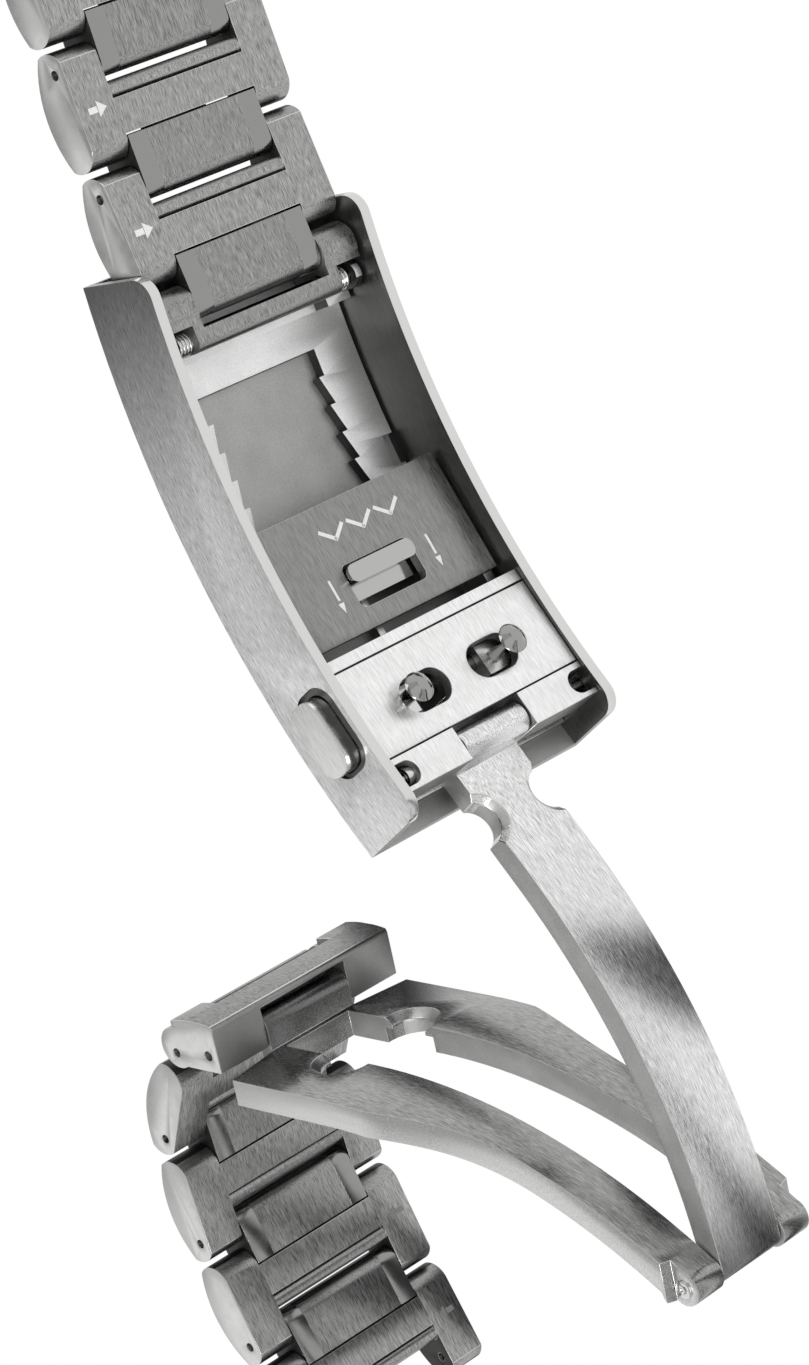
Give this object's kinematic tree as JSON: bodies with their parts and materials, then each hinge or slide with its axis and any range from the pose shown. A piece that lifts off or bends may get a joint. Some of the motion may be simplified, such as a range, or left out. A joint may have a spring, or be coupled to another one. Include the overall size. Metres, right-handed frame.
{
  "type": "watch clasp",
  "caption": "Fold-over bracelet clasp, standing open, with sliding fine adjustment, two release buttons and short runs of its bracelet at both ends.",
  "frame": {"origin": "bottom centre of the bounding box, with the clasp lying on its far side", "axes": "+X along the clasp towards the tip of the open blade, +Y towards the wrist side of the case, +Z across the bracelet, up from the side it lies on"},
  "size_m": [0.1036, 0.0526, 0.0218],
  "materials": {
    "steel": "fine brushed",
    "polished": "mirror polished",
    "polished_links": "polished",
    "blasted": "bead blasted",
    "spring": "plain"
  },
  "bodies": {
    "case": {"shell": "steel", "latch_housing": "steel", "latch_cover": "steel", "case_bar_sleeve": "polished", "case_bar_tips": "polished", "slide_cover": "steel", "pusher_spring_near": "spring", "pusher_spring_far": "spring", "pawl_spring_near": "spring", "pawl_spring_far": "spring"},
    "button": {"slide_button": "polished"},
    "near_pawl": {"pawl_near": "spring"},
    "far_pawl": {"pawl_far": "spring"},
    "near_press": {"pusher_near": "steel", "stud_near": "polished"},
    "far_press": {"pusher_far": "steel", "stud_far": "polished"},
    "slider": {"slider": "blasted", "upper_end_link": "steel", "upper_bar_sleeve": "polished", "upper_bar_tips": "polished", "upper_end_pin": "polished"},
    "blade": {"blade": "steel"},
    "fork": {"fork": "steel", "fork_pin": "polished"},
    "lower_end": {"lower_end_link": "steel", "lower_bar_sleeve": "polished", "lower_bar_tips": "polished", "lower_end_pin": "polished"},
    "upper1": {"upper1_frame": "polished_links", "upper1_tile": "steel", "upper1_strips": "polished", "upper1_pin": "polished"},
    "upper2": {"upper2_frame": "polished_links", "upper2_tile": "steel", "upper2_strips": "polished", "upper2_pin": "polished"},
    "upper3": {"upper3_frame": "polished_links", "upper3_tile": "steel", "upper3_strips": "polished"},
    "lower1": {"lower1_frame": "polished_links", "lower1_tile": "steel", "lower1_strips": "polished", "lower1_pin": "polished"},
    "lower2": {"lower2_frame": "polished_links", "lower2_tile": "steel", "lower2_strips": "polished", "lower2_pin": "polished"},
    "lower3": {"lower3_frame": "polished_links", "lower3_tile": "steel", "lower3_strips": "polished", "lower3_pin": "polished"},
    "lower4": {"lower4_frame": "polished_links", "lower4_tile": "steel", "lower4_strips": "polished"}
  },
  "joints": [
    {"name": "blade_fold", "type": "hinge", "parent": "case", "child": "blade", "pos_m": [0.00867, 0.02122, 0.0109], "axis": [0, 0, 1], "range_deg": [0, 174.5]},
    {"name": "fork_fold", "type": "hinge", "parent": "blade", "child": "fork", "pos_m": [0.04701, 0.02042, 0.0109], "axis": [0, 0, 1], "range_deg": [-51.5, 0]},
    {"name": "lower_end_swing", "type": "hinge", "parent": "fork", "child": "lower_end", "pos_m": [0.02076, -0.01176, 0.0109], "axis": [0, 0, 1], "range_deg": [-8, 25]},
    {"name": "slider_travel", "type": "hinge", "parent": "case", "child": "slider", "pos_m": [-0.00851, 0.08808, 0.0109], "axis": [0, 0, 1], "range_deg": [0, 4.7]},
    {"name": "button_pull", "type": "slide", "parent": "case", "child": "button", "axis": [0.9965, 0.0837, 0], "range_m": [0, 0.0015], "stiffness_N_per_m": 150, "springref_m": -0.0003},
    {"name": "pawl_near_draw", "type": "slide", "parent": "case", "child": "near_pawl", "axis": [0, 0, -1], "range_m": [0, 0.00062], "deforming": ["pawl_spring_near"]},
    {"name": "pawl_far_draw", "type": "slide", "parent": "case", "child": "far_pawl", "axis": [0, 0, 1], "range_m": [0, 0.00062], "deforming": ["pawl_spring_far"]},
    {"name": "button_near_press", "type": "slide", "parent": "case", "child": "near_press", "axis": [0, 0, -1], "range_m": [0, 0.00075], "stiffness_N_per_m": 150, "springref_m": -0.0003, "deforming": ["pusher_spring_near"]},
    {"name": "button_far_press", "type": "slide", "parent": "case", "child": "far_press", "axis": [0, 0, 1], "range_m": [0, 0.00075], "stiffness_N_per_m": 150, "springref_m": -0.0003, "deforming": ["pusher_spring_far"]},
    {"name": "upper1_turn", "type": "hinge", "parent": "slider", "child": "upper1", "pos_m": [-0.02533, 0.02052, 0.0109], "axis": [0, 0, 1], "range_deg": [-20, 0]},
    {"name": "upper2_turn", "type": "hinge", "parent": "upper1", "child": "upper2", "pos_m": [-0.03372, 0.02148, 0.0109], "axis": [0, 0, 1], "range_deg": [-35, 3]},
    {"name": "upper3_turn", "type": "hinge", "parent": "upper2", "child": "upper3", "pos_m": [-0.04201, 0.02313, 0.0109], "axis": [0, 0, 1], "range_deg": [-35, 8]},
    {"name": "lower1_turn", "type": "hinge", "parent": "lower_end", "child": "lower1", "pos_m": [0.01968, -0.01511, 0.0109], "axis": [0, 0, 1], "range_deg": [-60, 5]},
    {"name": "lower2_turn", "type": "hinge", "parent": "lower1", "child": "lower2", "pos_m": [0.02525, -0.02147, 0.0109], "axis": [0, 0, 1], "range_deg": [-33, 8]},
    {"name": "lower3_turn", "type": "hinge", "parent": "lower2", "child": "lower3", "pos_m": [0.03341, -0.02366, 0.0109], "axis": [0, 0, 1], "range_deg": [-18, 12]},
    {"name": "lower4_turn", "type": "hinge", "parent": "lower3", "child": "lower4", "pos_m": [0.04185, -0.02399, 0.0109], "axis": [0, 0, 1], "range_deg": [-10, 20]}
  ],
  "couplings": [
    {"joint": "fork_fold", "follows": "blade_fold", "ratio": -0.291},
    {"joint": "pawl_near_draw", "follows": "button_pull", "ratio": 0.4},
    {"joint": "pawl_far_draw", "follows": "button_pull", "ratio": 0.4}
  ]
}
